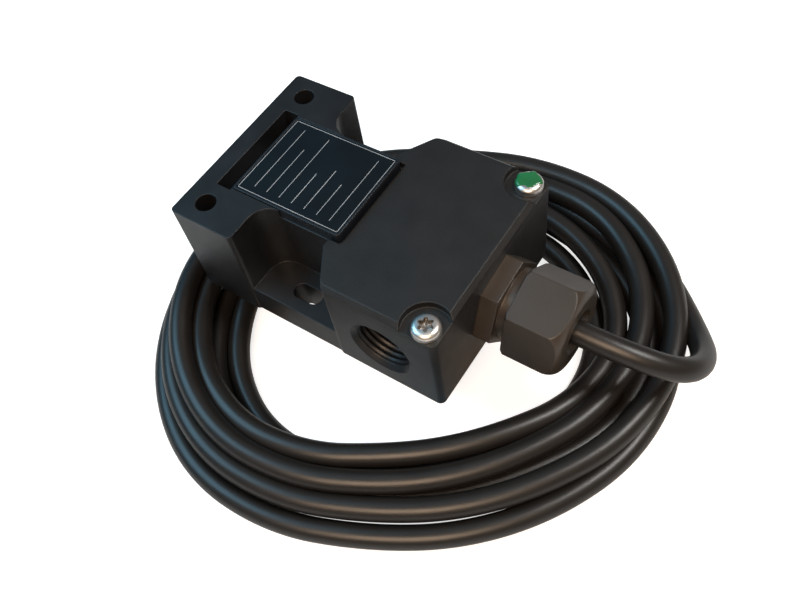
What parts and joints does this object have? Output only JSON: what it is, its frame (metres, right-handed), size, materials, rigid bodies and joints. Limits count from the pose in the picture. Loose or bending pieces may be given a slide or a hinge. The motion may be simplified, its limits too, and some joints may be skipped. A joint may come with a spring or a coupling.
{
  "type": "tongue interlock switch",
  "caption": "Safety interlock switch with a tongue-operated rotor head, terminal box, screwed lid, cable gland and a coiled pre-wired cord.",
  "frame": {"origin": "midway between the head's two fixing holes, on the head's front face", "axes": "+X along the switch from the head to the cable gland, +Z out of the front face, +Y completes the right-handed frame"},
  "size_m": [0.1375, 0.133, 0.0442],
  "materials": {
    "housing_plastic": "fine moulded texture, satin",
    "cover_plastic": "smooth, satin",
    "label": "satin foil with a thin light border",
    "lid_plastic": "fine spark-eroded texture",
    "gland_plastic": "satin polyamide",
    "seal_rubber": "matt",
    "cord_sheath": "satin PVC",
    "screw_steel": "bright plated",
    "axle_steel": "ground",
    "rotor_zinc": "die-cast zinc, bare",
    "plunger_plastic": "natural acetal",
    "block_plastic": "phenolic brown",
    "contact_brass": "stamped",
    "core_brown": "PVC",
    "core_blue": "PVC",
    "core_black": "PVC",
    "core_grey": "PVC"
  },
  "bodies": {
    "switch": {"housing": "housing_plastic", "mechanism_cover": "cover_plastic", "cover_pins": "cover_plastic", "label_plate": "label", "rotor_axle": "axle_steel", "return_spring": "axle_steel", "contact_block": "block_plastic", "nc_fixed_contacts": "contact_brass", "no_fixed_contacts": "contact_brass", "terminal_clamps": "contact_brass", "terminal_screws": "screw_steel", "lid_gasket": "seal_rubber", "terminal_lid": "lid_plastic", "lid_screw_near": "screw_steel", "lid_screw_far": "screw_steel", "gland_o_ring": "seal_rubber", "gland_body": "gland_plastic", "gland_seal": "seal_rubber", "gland_nut": "gland_plastic", "cord_sheath_end": "cord_sheath", "core_brown": "core_brown", "core_blue": "core_blue", "core_black": "core_black", "core_grey": "core_grey", "cord_lead": "cord_sheath", "cord_coil": "cord_sheath"},
    "rotor": {"rotor_cam": "rotor_zinc", "coding_disc_near": "rotor_zinc", "coding_disc_far": "rotor_zinc"},
    "plunger_carriage": {"plunger": "plunger_plastic", "nc_contact_bridge": "contact_brass", "no_contact_bridge": "contact_brass"}
  },
  "joints": [
    {"name": "rotor_turn", "type": "hinge", "parent": "switch", "child": "rotor", "pos_m": [0.0086, 0, -0.0152], "axis": [0, -1, 0], "range_deg": [0, 60]},
    {"name": "plunger_slide", "type": "slide", "parent": "switch", "child": "plunger_carriage", "axis": [-1, 0, 0], "range_m": [0, 0.0022], "deforming": ["return_spring"]}
  ],
  "couplings": [
    {"joint": "plunger_slide", "follows": "rotor_turn", "m_per_rad": 0.0021008}
  ]
}
